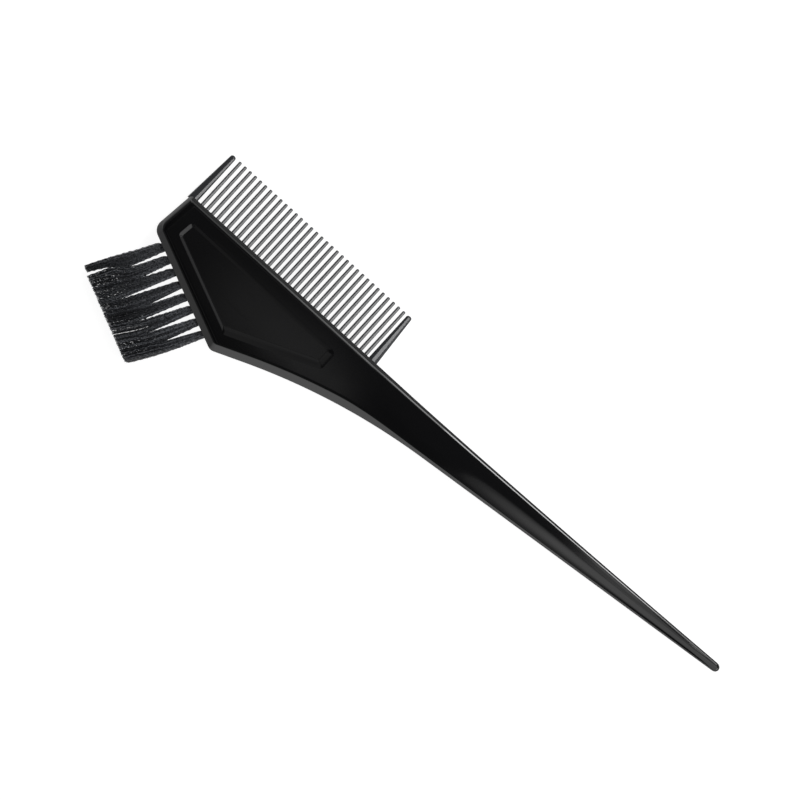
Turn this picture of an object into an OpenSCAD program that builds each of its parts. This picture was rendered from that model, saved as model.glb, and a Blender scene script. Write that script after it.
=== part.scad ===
// Tint brush: a moulded head with a tail handle, a comb let into its upper edge, and a single
// row of bristle tufts. Each tuft is folded over a flat wire anchor at the bottom of its bore.
// X runs along the comb line towards the tail, Y towards the tips of the teeth and Z up out of
// the face. The brush lies on its flat back.

/* [Head] */
// Thickness of the head
head_t = 7.6; // [6.6:0.2:10]
// Length of the short end, from the comb line to the bristle edge
end_len = 14.3; // [12:0.1:18]
// Lean of the short end away from square, in degrees
end_lean = 7; // [0:0.5:12]
// Fall of the bristle edge from the comb line, in degrees
bristle_fall = 23.2; // [18:0.2:28]
// Length of the bristle edge from the heel corner to the first tuft
heel_margin = 6.4; // [5:0.1:9]
// Length of the bristle edge from the last tuft to the toe corner
toe_margin = 5.1; // [5:0.1:9]
// Rise of the head's lower edge, in degrees
lower_rise = 22.6; // [20:0.1:25]
// Radius of the corner between the comb edge and the short end
comb_corner_r = 1.2; // [0.6:0.1:2]
// Radius of the corner between the short end and the bristle edge
heel_r = 3.4; // [1:0.1:5]
// Radius of the corner between the bristle edge and the lower edge
toe_r = 2.6; // [1:0.1:5]

/* [Tail] */
// Distance along X from the toe to the middle of the throat
throat_run = 36.7; // [32:0.1:42]
// Radius of the throat curve
throat_r = 206; // [120:1:240]
// Length of the handle, from the comb corner to the tip of the tail
handle_len = 205.8; // [185:0.2:240]
// Width of the tail at its tip
tip_w = 2.6; // [2.2:0.1:4]
// Thickness of the tail at its tip
tip_t = 3.2; // [2.4:0.1:5]
// Length of the rounded tip
tip_round = 1.6; // [0.8:0.1:2.5]
// Plain upper edge between the comb and the start of the tail's lift
neck_len = 14; // [4:0.5:20]
// Rise of the tail's tip above the comb line
tail_lift = 2.7; // [0:0.1:5]
// Bend of that rise: 1 is straight, more leaves the comb line more gently
lift_bend = 1.45; // [1:0.05:2]
// Height of the crown on the tail's two faces
tail_crown = 0.35; // [0.1:0.05:0.5]
// Start and end of the crown: 1 is gradual, less is quicker
crown_bend = 0.35; // [0.3:0.05:1]

/* [Edges] */
// Width of the bevel along the comb
comb_edge = 2; // [1.2:0.1:2.2]
// Width of the bevel along the short end
end_edge = 2.5; // [1.4:0.1:2.8]
// Width of the bevel along the bristles
row_edge = 2.9; // [1.6:0.1:3.2]
// Width of the bevel along the head's lower side
head_edge = 2.9; // [1.6:0.1:3.2]
// Width of the bevel under the tail, where the tail starts
tail_edge = 1.3; // [0.6:0.1:1.6]
// Width of the lower bevel at the tip
tip_edge = 0.4; // [0.3:0.1:0.8]
// Width of the upper bevel at the tip
tip_top_edge = 0.8; // [0.5:0.1:1.2]
// Slope of the bevel along the comb and the top of the tail, in degrees
comb_slope = 42; // [30:1:50]
// Slope of the bevel along the bristles, in degrees
row_slope = 43; // [30:1:50]
// Slope of the other bevels, in degrees
side_slope = 53; // [40:1:55]
// Share of the comb's bevel that is flat; the rest is rounded over into the face
comb_flat = 0.4; // [0.1:0.05:0.8]
// Share of the short end's bevel that is flat
end_flat = 0.3; // [0.1:0.05:0.8]
// Share of the bristle edge's bevel that is flat
row_flat = 0.6; // [0.1:0.05:0.8]
// Share of the lower bevel that is flat
side_flat = 0.7; // [0.1:0.05:0.8]

/* [Thumb recess] */
// Width of the flat border round the recess
recess_border = 5.5; // [5:0.1:7]
// Distance from the comb corner to the far end of the recess
recess_end = 62; // [45:1:66]
// Depth of the recess at the bristle end
recess_deep = 0.3; // [0.25:0.05:1.2]
// Depth of the recess at the tail end
recess_shallow = 0.2; // [0.1:0.05:0.3]
// Width of the recess's sloping wall
recess_flare = 1.2; // [0.6:0.1:1.6]
// Radius of the corners of the recess's floor
recess_r = 1; // [0.6:0.1:1.5]

/* [Comb] */
// Number of fine teeth
tooth_count = 33; // [24:1:36]
// Spacing of the fine teeth
tooth_pitch = 2.01; // [1.8:0.01:2.2]
// Length of the teeth beyond the comb line
tooth_len = 16.8; // [10:0.1:22]
// Width of a fine tooth at its root
tooth_w = 1.1; // [0.7:0.05:1.2]
// Width of a fine tooth at its tip
tooth_tip_w = 0.95; // [0.5:0.05:1]
// Thickness of the teeth at the root
tooth_t = 2.2; // [1.6:0.1:2.3]
// Thickness of the teeth at the tip
tooth_tip_t = 1.2; // [0.8:0.1:1.5]
// Width of a guard tooth at its root
guard_w = 3.2; // [2.4:0.1:3.6]
// Width of a guard tooth at its tip
guard_tip_w = 1.9; // [1:0.1:2.2]
// Overhang of the first guard tooth past the comb corner
guard_over = 0.8; // [0:0.1:1]
// Gap between the first guard tooth and the fine teeth
first_gap = 1.05; // [0.7:0.05:1.4]
// Gap between the fine teeth and the last guard tooth
last_gap = 0.75; // [0.7:0.05:1.4]
// Drop of the guard tooth's heel below the comb line
guard_heel = 1.1; // [0.6:0.1:1.6]
// Thickness of the tongue that carries the teeth
tongue_t = 2.4; // [2.4:0.1:3]
// Depth of the tongue in its groove
tongue_d = 3; // [2:0.1:3.6]

/* [Bristles] */
// Number of tufts in the row
tuft_count = 8; // [7:1:9]
// Spacing of the tufts
tuft_pitch = 3.95; // [3.6:0.05:4.4]
// Diameter of a tuft's bore
bore_d = 2.5; // [2.2:0.1:2.8]
// Depth of a tuft's bore
bore_depth = 7; // [6:0.2:9]
// Free length of the bristles
bristle_len = 24.3; // [16:0.1:30]
// Lean of the bristles towards the short end, in degrees
bristle_lean = 7.6; // [0:0.2:12]
// Number of strands in a tuft
strand_count = 48; // [38:1:62]
// Thickness of a strand
strand_d = 0.24; // [0.16:0.02:0.26]
// Gap between neighbouring tufts at their tips
tuft_gap = 0.2; // [0.1:0.05:0.6]
// Thickness of the row at its tips
row_t = 3.8; // [3:0.1:5]
// Share of the free length over which a tuft fans out
fan_share = 0.45; // [0.3:0.05:0.7]

/* [Anchors] */
// Width of an anchor across its bore
anchor_w = 3.2; // [2.9:0.1:3.6]
// Height of an anchor along its bore
anchor_h = 1.5; // [1:0.1:2]
// Thickness of the anchor's flat wire
anchor_t = 0.35; // [0.25:0.05:0.5]
// Thickness of the fold of bristle under an anchor
fold_t = 1.4; // [1.2:0.1:2]

/* [Fits] */
// Play between the tongue and each cheek of its groove
tongue_fit = 0.05; // [0.02:0.01:0.1]
// Play between a tuft's root and the wall of its bore
tuft_fit = 0.04; // [0.02:0.01:0.08]

/* [Hidden] */

plastic = "#1c1c1e";
comb_plastic = "#2b2b2e";
nylon = "#2d2e33";
wire = "#b8b4a6";

// Steps along the throat, along the tail, round a corner and round an edge
throat_steps = 14;
tail_steps = 8;
corner_steps = 5;
edge_steps = 6;
crown_steps = 4;
// How far a cutting shape runs past the surface that it cuts
overcut = 1;
// Smallest radius that an inner corner shrinks to
least_r = 0.25;
// Least height of the upright side that is left under a bevel
least_side = 0.3;

// Corners of the head in plan, before they are rounded, and the directions of its edges
end_dir = 270 - end_lean;
bristle_dir = 360 - bristle_fall;
lower_dir = 360 + lower_rise;
comb_corner = [0, 0];
heel = comb_corner + end_len * ray(end_dir);
row_len = (tuft_count - 1) * tuft_pitch;
bristle_edge = heel_margin + row_len + toe_margin;
toe = heel + bristle_edge * ray(bristle_dir);
throat = toe + throat_run * [1, tan(lower_rise)];

// The throat is an arc between the head's lower edge and the tail's
tail_rise = atan((tail_lift - tip_w - throat[1]) / (handle_len - throat[0]));
throat_cut = throat_r * tan((lower_rise - tail_rise) / 2);
throat_start = throat[0] - throat_cut * cos(lower_rise);
tail_start = throat[0] + throat_cut * cos(tail_rise);
tail_end = handle_len - tip_round;
throat_middle = [throat_start + throat_r * sin(lower_rise),
                 throat[1] - throat_cut * sin(lower_rise) - throat_r * cos(lower_rise)];
stations = concat([for (i = [0:throat_steps]) mix(throat_start, tail_start, i / throat_steps)],
                  [for (i = [1:tail_steps]) mix(tail_start, tail_end, i / tail_steps)]);

// The comb: a guard tooth, the fine teeth and a guard tooth
first_guard = comb_corner[0] - guard_over;
first_tooth = first_guard + guard_w + first_gap;
last_guard = first_tooth + (tooth_count - 1) * tooth_pitch + tooth_w + last_gap;
comb_end = last_guard + guard_w;
lift_start = comb_end + neck_len;
// A tooth has a ridge with a facet on either side, and a flank below each. For the fine teeth and
// the two guard teeth: the shares of the width at which the left facet starts, the ridge lies and
// the right facet ends. Then the slope of the facets, and the least height of a flank as a share
// of the tooth's thickness.
fine_facets = [0.12, 0.4, 0.88];
first_facets = [0.12, 0.6, 0.88];
last_facets = [0.12, 0.35, 0.7];
facet_slope = 24;
least_flank = 0.125;
// Turn of a tooth's rounded tip
tooth_tip_turn = 60;
tooth_tip_steps = 2;
// How far the tongue stops short of the open end of its groove
tongue_short = 0.3;

// The tufts: their direction, and how far a strand stands from the middle of its tuft
row_dir = ray(bristle_dir);
tuft_dir = ray(bristle_dir - 90 - bristle_lean);
root_r = bore_d / 2 - tuft_fit;
bundle_r = root_r - strand_d;
fan_row = (tuft_pitch - tuft_gap - strand_d) / 2 / bundle_r;
fan_face = (row_t - strand_d) / 2 / bundle_r;
// How far a tuft's root ends inside its bore, and how far its strands run into the root
root_sink = 0.25;
strand_root = 1.2;
// Shares of the whole fan that a strand has where it bends, along the row and across it
bend_row = 0.94;
bend_face = 0.7;
// Thickness of a strand's tip as a share of its root
strand_taper = 0.8;
golden_angle = 137.508;

// The box of the whole brush in plan, whose middle is the origin
tip_reach = fan_row * bundle_r + strand_d / 2;
low_x = mouth(1)[0] - tip_reach * row_dir[0] + bristle_len * tuft_dir[0];
low_y = mouth(tuft_count)[1] + tip_reach * row_dir[1] + bristle_len * tuft_dir[1];
middle = [(low_x + handle_len) / 2, (low_y + tooth_len) / 2];

function numbered(name) = [for (i = [1:tuft_count]) str(name, i)];
function ray(a) = [cos(a), sin(a)];
function mix(a, b, f) = a + (b - a) * f;
function held(f) = min(1, max(0, f));
function ease(f) = let (g = held(f)) g * g * (3 - 2 * g);
function meet(p, a, q, b) = p + ray(a) * cross(q - p, ray(b)) / cross(ray(a), ray(b));

// Points of a corner at p that turns left from direction a to direction b
function corner(p, a, b, r) =
    let (c = p - ray(a) * r * tan((b - a) / 2) + ray(a + 90) * r)
    [for (i = [0:corner_steps]) c + r * ray(a - 90 + (b - a) * i / corner_steps)];

// Triangles between two rings of n points that start at a and b, b above a
function band(n, a, b) =
    [for (i = [0:n - 1]) let (j = (i + 1) % n)
        each [[a + i, b + i, b + j], [a + i, b + j, a + j]]];

// Triangles from the first point of a flat loop to its other edges
function fan(loop) = [for (i = [1:len(loop) - 2]) [loop[0], loop[i], loop[i + 1]]];
function reversed(list) = [for (i = [len(list) - 1:-1:0]) list[i]];
function shifted(list, by) = [for (v = list) v + by];
function turned(list, by) = [for (i = [0:len(list) - 1]) list[(i + by) % len(list)]];

// Upper and lower edge of the handle, and the half thickness, at x
function upper(x) = tail_lift * pow(held((x - lift_start) / (handle_len - lift_start)), lift_bend);
function lower(x) =
    x < throat_start ? throat[1] + (x - throat[0]) * tan(lower_rise)
    : x > tail_start ? throat[1] + (x - throat[0]) * tan(tail_rise)
    : throat_middle[1] + sqrt(throat_r * throat_r - pow(x - throat_middle[0], 2));
function along_tail(x) = held((x - tail_start) / (handle_len - tail_start));
function half_t(x) = mix(head_t, tip_t, along_tail(x)) / 2;
function crown(x) = tail_crown * pow(sin(180 * along_tail(x)), crown_bend);

// Width of the bevel at x, above and below. The one below is also needed square to X.
function past_comb(x) = held((x - comb_end) / (handle_len - comb_end));
function upper_edge(x) = mix(comb_edge, tip_top_edge, sqrt(past_comb(x)));
function out_of_throat(x) = ease((x - throat[0]) / (tail_start - throat[0]));
function lower_width(x) = mix(mix(head_edge, tail_edge, out_of_throat(x)), tip_edge, along_tail(x));
function lower_edge(x) = lower_width(x) / cos(mix(lower_rise, tail_rise, out_of_throat(x)));

// A bevel starts flat and is then rounded over into the face. At a step of it, how far in it is
// and how far below the face, both as shares of its width.
function rounding(step, slope) = step < 1 ? slope : slope * (edge_steps - step) / (edge_steps - 1);
function bevel_in(step, slope, flat) =
    step == 0 ? 0 : 1 - (1 - flat) * sin(rounding(step, slope)) / sin(slope);
function bevel_down(step, slope, flat) =
    (1 - flat) * (1 - cos(rounding(step, slope))) / sin(slope) + (step == 0 ? flat * tan(slope) : 0);
function comb_in(step) = bevel_in(step, comb_slope, comb_flat);
function comb_down(step) = bevel_down(step, comb_slope, comb_flat);
function end_in(step) = bevel_in(step, side_slope, end_flat);
function end_down(step) = bevel_down(step, side_slope, end_flat);
function row_in(step) = bevel_in(step, row_slope, row_flat);
function row_down(step) = bevel_down(step, row_slope, row_flat);
function side_in(step) = bevel_in(step, side_slope, side_flat);
function side_down(step) = bevel_down(step, side_slope, side_flat);

// Outline of the handle in plan at a step of its bevels
function outline(step) =
    let (up = comb_corner - [0, comb_in(step) * comb_edge],
         end = comb_corner + end_in(step) * end_edge * ray(end_dir + 90),
         row = heel + row_in(step) * row_edge * ray(bristle_dir + 90),
         low = toe + side_in(step) * head_edge * ray(lower_dir + 90),
         shrink = end_in(step) * end_edge,
         comb_r = max(least_r, comb_corner_r - shrink),
         inner_heel_r = max(least_r, heel_r - shrink),
         inner_toe_r = max(least_r, toe_r - shrink),
         last = stations[len(stations) - 1],
         tip_hi = upper(last) - comb_in(step) * upper_edge(last),
         tip_lo = lower(last) + side_in(step) * lower_edge(last),
         half = (tip_hi - tip_lo) / 2,
         reach = tip_round * half * 2 / (upper(last) - lower(last)))
    concat(corner(meet(up, 180, end, end_dir), 180, end_dir, comb_r),
           corner(meet(end, end_dir, row, bristle_dir), end_dir, bristle_dir, inner_heel_r),
           corner(meet(row, bristle_dir, low, lower_dir), bristle_dir, lower_dir, inner_toe_r),
           [for (x = stations) [x, lower(x) + side_in(step) * lower_edge(x)]],
           [for (i = [1:corner_steps]) let (a = 180 * i / (corner_steps + 1) - 90)
               [last + reach * cos(a), (tip_hi + tip_lo) / 2 + half * sin(a)]],
           [for (x = reversed(stations)) [x, upper(x) - comb_in(step) * upper_edge(x)]]);

// How far each of those points lies below the face
function depths(step) =
    let (up = comb_down(step) * comb_edge, end = end_down(step) * end_edge,
         row = row_down(step) * row_edge, low = side_down(step) * head_edge,
         tip_hi = comb_down(step) * tip_top_edge, tip_lo = side_down(step) * tip_edge)
    concat([for (i = [0:corner_steps]) mix(up, end, i / corner_steps)],
           [for (i = [0:corner_steps]) mix(end, row, i / corner_steps)],
           [for (i = [0:corner_steps]) mix(row, low, i / corner_steps)],
           [for (x = stations) side_down(step) * lower_width(x)],
           [for (i = [1:corner_steps]) mix(tip_lo, tip_hi, i / (corner_steps + 1))],
           [for (x = reversed(stations)) comb_down(step) * upper_edge(x)]);

// The outline at a step of the bevels, on the face (side 1) or the back (side -1)
function edge_ring(step, side) =
    let (ring = outline(step), depth = depths(step))
    [for (i = [0:len(ring) - 1])
        let (p = ring[i]) [p[0], p[1], side * max(least_side, half_t(p[0]) - depth[i])]];

// Points inside a face, between its lower and its upper edge at each station
function crown_points(side) =
    [for (x = stations, k = [1:crown_steps - 1])
        let (f = k / crown_steps,
             y = mix(lower(x) + lower_edge(x), upper(x) - upper_edge(x), f))
        [x, y, side * (half_t(x) + crown(x) * 4 * f * (1 - f))]];

// Places of the points of one ring: the head's corners, the lower edge, the tip, the upper edge
head_points = 3 * (corner_steps + 1);
chain_points = len(stations);
ring_points = head_points + 2 * chain_points + corner_steps;

// A face as triangles, seen from above, on the ring that starts at a and the inner points at b
function face(a, b) =
    let (last = chain_points - 1, inner = crown_steps - 1,
         row = [for (j = [0:last])
             concat([a + head_points + j], [for (k = [0:inner - 1]) b + j * inner + k],
                    [a + ring_points - 1 - j])],
         head = concat([for (i = [0:head_points - 1]) a + i], row[0]),
         tip = concat([for (i = [0:corner_steps - 1]) a + head_points + chain_points + i],
                      reversed(row[last])))
    concat(fan(turned(head, corner_steps + 1)), fan(turned(tip, floor(corner_steps / 2))),
           [for (j = [0:last - 1], k = [0:inner])
               each [[row[j][k], row[j + 1][k], row[j + 1][k + 1]],
                     [row[j][k], row[j + 1][k + 1], row[j][k + 1]]]]);

// The solid handle: rings up the bevels from the back to the face, closed by two faces
module handle_blank() {
    rings = concat([for (s = [edge_steps:-1:0]) edge_ring(s, -1)],
                   [for (s = [0:edge_steps]) edge_ring(s, 1)]);
    levels = len(rings);
    n = ring_points;
    inner = chain_points * (crown_steps - 1);
    polyhedron(
        points = concat([for (r = rings) each r], crown_points(-1), crown_points(1)),
        faces = concat([for (k = [0:levels - 2]) each band(n, k * n, (k + 1) * n)],
                       face(0, levels * n),
                       [for (f = face((levels - 1) * n, levels * n + inner)) reversed(f)]));
}

// Outline of the thumb recess, parallel to the head's edges, its walls moved out by grow
function recess_outline(grow) =
    let (in = recess_border + recess_flare - grow,
         up = comb_corner - [0, in],
         end = comb_corner + in * ray(end_dir + 90),
         row = heel + in * ray(bristle_dir + 90),
         low = toe + in * ray(lower_dir + 90),
         far = [recess_end - recess_flare + grow, 0],
         far_dir = 450,
         r = recess_r + grow)
    concat(corner(meet(up, 180, end, end_dir), 180, end_dir, r),
           corner(meet(end, end_dir, row, bristle_dir), end_dir, bristle_dir, r),
           corner(meet(row, bristle_dir, low, lower_dir), bristle_dir, lower_dir, r),
           corner(meet(low, lower_dir, far, far_dir), lower_dir, far_dir, r),
           corner(meet(far, far_dir, up, 540), far_dir, 540, r));

// The hollow of the recess, to be cut from the face: its floor rises evenly towards the tail
module recess_cut() {
    near = recess_border;
    floor_ring = [for (p = recess_outline(0))
        let (f = (p[0] - near) / (recess_end - near))
        [p[0], p[1], head_t / 2 - mix(recess_deep, recess_shallow, f)]];
    top_grow = recess_flare * (recess_deep + overcut) / recess_deep;
    top_ring = [for (p = recess_outline(top_grow)) [p[0], p[1], head_t / 2 + overcut]];
    solid_between(floor_ring, top_ring);
}

// A solid between rings of as many points, each above the last, closed by flat ends
module solid_between(a, b) {
    n = len(a);
    loop = [for (i = [0:n - 1]) i];
    polyhedron(points = concat(a, b),
               faces = concat(band(n, 0, n), fan(loop), fan(reversed(shifted(loop, n)))));
}

// Where a tuft's bore opens in the bristle edge, and the tuft's own frame there
function mouth(i) = heel + (heel_margin + (i - 1) * tuft_pitch) * row_dir;
module at_bore(i) {
    translate(mouth(i)) rotate(bristle_dir - 90 - bristle_lean) rotate([0, 90, 0]) children();
}

// A round root with a domed end, from the given depth up to the height z
module domed_root(r, depth, z) {
    translate([0, 0, r - depth]) cylinder(r = r, h = z + depth - r, $fn = 48);
    translate([0, 0, r - depth]) sphere(r = r, $fn = 48);
}

// An anchor lies across its bore, square to the row, above the fold of its tuft
module anchor_plate() {
    translate([-anchor_w / 2, -anchor_t / 2, fold_t - bore_depth]) cube([anchor_w, anchor_t, anchor_h]);
}

module comb_groove() {
    depth = tongue_d + overcut;
    half = tongue_t / 2 + tongue_fit;
    start = heel[0] - overcut;
    translate([start, -tongue_d, -half]) cube([comb_end + tongue_fit - start, depth, 2 * half]);
}

module handle() {
    color(plastic) on_back() difference() {
        handle_blank();
        recess_cut();
        mirror([0, 0, 1]) recess_cut();
        comb_groove();
        for (i = [1:tuft_count]) at_bore(i) {
            domed_root(bore_d / 2, bore_depth, overcut);
            anchor_plate();
        }
    }
}

// Section of a tooth at y: widest in the middle plane, then a flank, a facet and the ridge
function tooth_ring(y, x0, x1, t, facets) =
    let (x = [for (f = facets) mix(x0, x1, f)],
         z = [for (v = x) max(least_flank * t, t / 2 - abs(v - x[1]) * tan(facet_slope))])
    [[x0, y, 0], [x[0], y, z[0]], [x[1], y, z[1]], [x[2], y, z[2]],
     [x1, y, 0], [x[2], y, -z[2]], [x[1], y, -z[1]], [x[0], y, -z[0]]];

// A tooth from y0 to its rounded tip, between a left and a right side that may lean
module tooth(y0, left, right, tip_left, tip_right, facets) {
    round = (tip_right - tip_left) / 2;
    middle_x = (tip_left + tip_right) / 2;
    rings = concat(
        [tooth_ring(y0, left, right, tooth_t, facets)],
        [for (i = [0:tooth_tip_steps])
            let (a = tooth_tip_turn * i / tooth_tip_steps,
                 y = tooth_len - round * (sin(tooth_tip_turn) - sin(a)))
            tooth_ring(y, mix(middle_x, tip_left, cos(a)), mix(middle_x, tip_right, cos(a)),
                       tooth_tip_t * cos(a), facets)]);
    n = len(rings[0]);
    loop = [for (i = [0:n - 1]) i];
    last = (len(rings) - 1) * n;
    polyhedron(points = [for (r = rings) each r],
               faces = concat([for (k = [0:len(rings) - 2]) each band(n, k * n, (k + 1) * n)],
                              fan(loop), fan(reversed(shifted(loop, last)))));
}

module comb() {
    lean = (tooth_w - tooth_tip_w) / 2;
    color(comb_plastic) on_back() {
        translate([comb_corner[0] + tongue_short, -tongue_d, -tongue_t / 2])
            cube([comb_end - comb_corner[0] - tongue_short, tongue_d, tongue_t]);
        tooth(-guard_heel, first_guard, first_guard + guard_w,
              first_guard + guard_w - guard_tip_w, first_guard + guard_w, first_facets);
        for (i = [0:tooth_count - 1]) {
            x = first_tooth + i * tooth_pitch;
            tooth(-guard_heel, x, x + tooth_w, x + lean, x + tooth_w - lean, fine_facets);
        }
        tooth(-guard_heel, last_guard, comb_end, last_guard, last_guard + guard_tip_w, last_facets);
    }
}

// Places of the strands in a tuft, spread evenly over a round of radius bundle_r
function strand_place(k) =
    bundle_r * sqrt((k + 0.5) / strand_count) * ray(golden_angle * k);

// The three corners of a strand at the height h above the mouth, fanned out by the two shares
function strand_ring(i, k, h, fan_x, fan_z, d) =
    let (p = strand_place(k),
         q = mouth(i) + fan_x * p[0] * row_dir + h * tuft_dir)
    [for (a = [90, 210, 330]) let (c = d / 2 * ray(a)) [each q + c[0] * row_dir, fan_z * p[1] + c[1]]];

// All strands of a tuft: each bends once where the tuft stops fanning out
module strands(i) {
    bend = bristle_len * fan_share;
    wide = mix(1, fan_row, bend_row);
    thick = mix(1, fan_face, bend_face);
    points = [for (k = [0:strand_count - 1]) each concat(
        strand_ring(i, k, -strand_root, 1, 1, strand_d),
        strand_ring(i, k, bend, wide, thick, strand_d),
        strand_ring(i, k, bristle_len, fan_row, fan_face, strand_d * strand_taper))];
    polyhedron(points = points,
               faces = [for (k = [0:strand_count - 1]) let (s = 9 * k)
                   each concat(band(3, s, s + 3), band(3, s + 3, s + 6),
                               [[s, s + 1, s + 2], [s + 8, s + 7, s + 6]])]);
}

module tuft(i) {
    color(nylon) on_back() difference() {
        union() {
            at_bore(i) domed_root(root_r, bore_depth - tuft_fit, -root_sink);
            strands(i);
        }
        at_bore(i) anchor_plate();
    }
}

module anchor(i) {
    color(wire) on_back() at_bore(i) anchor_plate();
}

// The brush lies on its back, with the middle of its box over the origin
module on_back() {
    translate([-middle[0], -middle[1], head_t / 2]) children();
}

handle();
comb();
for (i = [1:tuft_count]) {
    tuft(i);
    anchor(i);
}
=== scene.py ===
# %% [markdown]
# # A tint brush with a comb, dressed for a studio picture
#
# A tint brush lays hair colour on with a slanted row of bristles, and combs it through with the
# teeth on its other edge. The long tail parts the hair. The solids of the brush come from a CAD
# model, which fixes every size and place. This lesson models finer pieces over them, gives each
# one its finish, and lights the brush as it lies on a white table under the camera.

# %% Load the solids
import math
import random

import bmesh
import bpy
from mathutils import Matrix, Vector


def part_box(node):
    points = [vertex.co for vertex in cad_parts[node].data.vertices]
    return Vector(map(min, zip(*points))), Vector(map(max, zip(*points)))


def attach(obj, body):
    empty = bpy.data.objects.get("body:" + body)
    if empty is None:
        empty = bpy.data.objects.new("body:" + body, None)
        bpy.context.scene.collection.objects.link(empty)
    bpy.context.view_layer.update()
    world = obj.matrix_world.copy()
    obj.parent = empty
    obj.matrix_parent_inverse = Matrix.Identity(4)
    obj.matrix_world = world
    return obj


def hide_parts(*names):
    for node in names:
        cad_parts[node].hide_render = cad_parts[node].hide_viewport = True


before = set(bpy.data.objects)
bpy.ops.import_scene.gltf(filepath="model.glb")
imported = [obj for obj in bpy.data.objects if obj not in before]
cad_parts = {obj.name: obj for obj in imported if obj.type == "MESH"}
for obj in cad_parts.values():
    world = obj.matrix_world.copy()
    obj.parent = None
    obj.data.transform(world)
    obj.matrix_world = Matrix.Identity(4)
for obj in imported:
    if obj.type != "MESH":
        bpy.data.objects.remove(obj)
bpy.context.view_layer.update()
handle_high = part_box("handle")[1]
comb_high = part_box("comb")[1]

# %% [markdown]
# ## A bench in millimetres
#
# Blender counts in metres, and some of its tools treat a tenth of a millimetre as nothing. So
# each piece is modelled on a bench where one unit is a millimetre: X runs along the comb line,
# Y towards the tips of the teeth, and Z = 0 is the middle plane of the brush. When a piece is
# finished, one transform brings it down to its real size and to its place on the solids.
# Operators act on whatever is selected, so each new piece starts from an empty selection.

# %% The bench
HANDLE_LEN = 205.8
HEAD_T = 7.6
TOOTH_LEN = 16.8
BENCH_ORIGIN = Vector((1000 * handle_high.x - HANDLE_LEN, 1000 * comb_high.y - TOOTH_LEN, HEAD_T / 2))


def start_piece(name):
    """Names the primitive that was just added, and opens it in edit mode."""
    piece = bpy.context.object
    piece.name = piece.data.name = name
    bpy.ops.object.mode_set(mode="EDIT")
    return piece


def clear_selection():
    bpy.ops.object.select_all(action="DESELECT")


def pick(piece, kind, test):
    """In edit mode, selects just the edges or the faces whose middle passes the test."""
    bpy.ops.mesh.select_mode(type=kind)
    bpy.ops.mesh.select_all(action="DESELECT")
    mesh = bmesh.from_edit_mesh(piece.data)
    if kind == "EDGE":
        chosen = [e for e in mesh.edges if test((e.verts[0].co + e.verts[1].co) / 2)]
    else:
        chosen = [f for f in mesh.faces if test(f.calc_center_median())]
    for part in chosen:
        part.select = True
    mesh.select_flush_mode()
    bmesh.update_edit_mesh(piece.data)


def apply_modifier(piece, kind, **settings):
    """Adds a modifier with the given settings and applies it."""
    bpy.context.view_layer.objects.active = piece
    modifier = piece.modifiers.new(kind.lower(), kind)
    for name, value in settings.items():
        setattr(modifier, name, value)
    bpy.ops.object.modifier_apply(modifier=modifier.name)


def cut_away(piece, cutter):
    """Cuts the shape of one object out of another, and removes the cutter."""
    apply_modifier(piece, "BOOLEAN", operation="DIFFERENCE", solver="EXACT", object=cutter)
    bpy.data.objects.remove(cutter)


def join(pieces):
    """Joins several objects into the first."""
    clear_selection()
    for piece in pieces:
        piece.select_set(True)
    bpy.context.view_layer.objects.active = pieces[0]
    bpy.ops.object.join()
    return pieces[0]


def set_down(piece, node):
    """Brings a finished piece from the bench to its place, where it stands for its solid."""
    clear_selection()
    piece.select_set(True)
    bpy.context.view_layer.objects.active = piece
    piece.scale = (0.001, 0.001, 0.001)
    piece.location = BENCH_ORIGIN / 1000
    bpy.ops.object.transform_apply(location=True, rotation=True, scale=True)
    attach(piece, "root")
    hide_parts(node)
    low = [round(1000 * min(v.co[i] for v in piece.data.vertices), 2) for i in range(3)]
    high = [round(1000 * max(v.co[i] for v in piece.data.vertices), 2) for i in range(3)]
    print(piece.name, "faces:", len(piece.data.polygons), "from", low, "to", high)


print("bench origin in mm:", [round(v, 3) for v in BENCH_ORIGIN])

# %% [markdown]
# ## The outline of the handle
#
# The handle is one moulding: a five-sided head that runs through a shallow curve, the throat,
# into a tapering tail. Its outline is straight lines and arcs, so it can be worked out from a few
# sizes. All round, its edge is a bevel that starts flat and is rounded over into the face, wider
# on the head than on the tail, and with a slope of its own on the comb side, the end, the bristle
# side and the lower side. The functions here give the outline and its depth below the face at any
# step of that bevel: step 0 is the outside of the brush, and the last is on the face. The face of
# the tail is crowned, so that it mirrors one long streak of light.

# %% Sizes and lines of the handle
END_LEN, END_LEAN = 14.3, 7
BRISTLE_FALL, LOWER_RISE = 23.2, 22.6
HEEL_MARGIN, TOE_MARGIN = 6.4, 5.1
COMB_CORNER_R, HEEL_R, TOE_R = 1.2, 3.4, 2.6
THROAT_RUN, THROAT_R = 36.7, 206
TIP_W, TIP_T, TIP_ROUND = 2.6, 3.2, 1.6
COMB_END, NECK_START, TAIL_LIFT, LIFT_CURVE = 72.82, 86.82, 2.7, 1.45
TAIL_CROWN, CROWN_RISE, CROWN_FALL, CROWN_LEAN = 0.29, 0.045, 0.21, 0.11
COMB_EDGE, END_EDGE, ROW_EDGE, HEAD_EDGE = 2.0, 3.3, 3.5, 2.9
TAIL_EDGE, TIP_EDGE, TIP_TOP_EDGE = 1.3, 0.4, 0.8
BEVELS = (40.5, 0.4), (53, 0.15), (40.3, 0.53), (53, 0.7)
EDGE_STEPS = 10
TUFT_COUNT, TUFT_PITCH = 8, 3.95

END_DIR, BRISTLE_DIR, LOWER_DIR = 270 - END_LEAN, 360 - BRISTLE_FALL, 360 + LOWER_RISE


def ray(angle):
    return Vector((math.cos(math.radians(angle)), math.sin(math.radians(angle))))


def mix(a, b, f):
    return a + (b - a) * f


def held(f):
    return min(1.0, max(0.0, f))


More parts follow.
